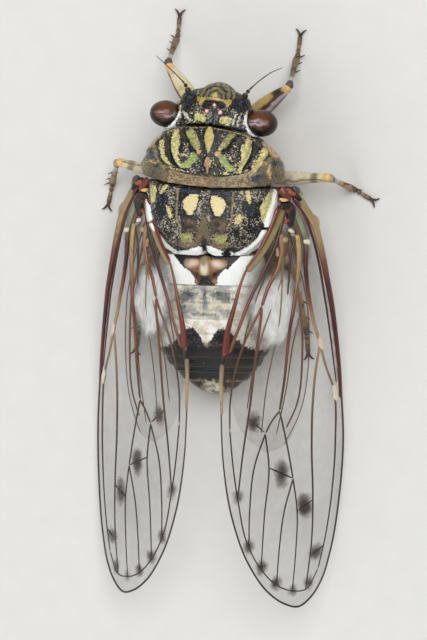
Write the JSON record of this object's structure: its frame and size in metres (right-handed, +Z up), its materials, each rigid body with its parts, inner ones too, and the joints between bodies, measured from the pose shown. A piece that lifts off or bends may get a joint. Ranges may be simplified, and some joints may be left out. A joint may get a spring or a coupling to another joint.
{
  "type": "cicada",
  "caption": "Life-size cicada at rest, its clear veined wings folded like a roof over its back, standing on its feet with the head turned a little.",
  "frame": {"origin": "on the ground, under the middle of the whole animal's length and width", "axes": "+Z up, +Y from the head towards the wing tips, +X towards the animal's own left"},
  "size_m": [0.033, 0.0692, 0.0151],
  "materials": {
    "cuticle_head": "satin shell, black with olive and yellow patches",
    "cuticle_back": "satin shell, black with yellow-green bands and cream spots",
    "cuticle_belly": "pale tan shell with a thin white bloom",
    "cuticle_abdomen": "black shell with white powdery bands",
    "eye": "polished dark amber brown",
    "wing": "clear glossy membrane with brown veins",
    "leg": "satin shell, ochre with dark rings",
    "feeler": "matt black"
  },
  "bodies": {
    "root": {"head": "cuticle_head", "clypeus": "cuticle_head", "rostrum": "cuticle_belly", "antenna_l": "feeler", "antenna_r": "feeler", "eye_l": "eye", "eye_r": "eye", "pronotum": "cuticle_back", "mesonotum": "cuticle_back", "metanotum": "cuticle_back", "thorax": "cuticle_belly", "abdomen": "cuticle_abdomen", "pygofer": "cuticle_abdomen", "operculum_l": "cuticle_belly", "operculum_r": "cuticle_belly", "forewing_l": "wing", "forewing_r": "wing", "hindwing_l": "wing", "hindwing_r": "wing", "leg_fore_l": "leg", "leg_fore_r": "leg", "leg_mid_l": "leg", "leg_mid_r": "leg", "leg_hind_l": "leg", "leg_hind_r": "leg"}
  },
  "joints": []
}
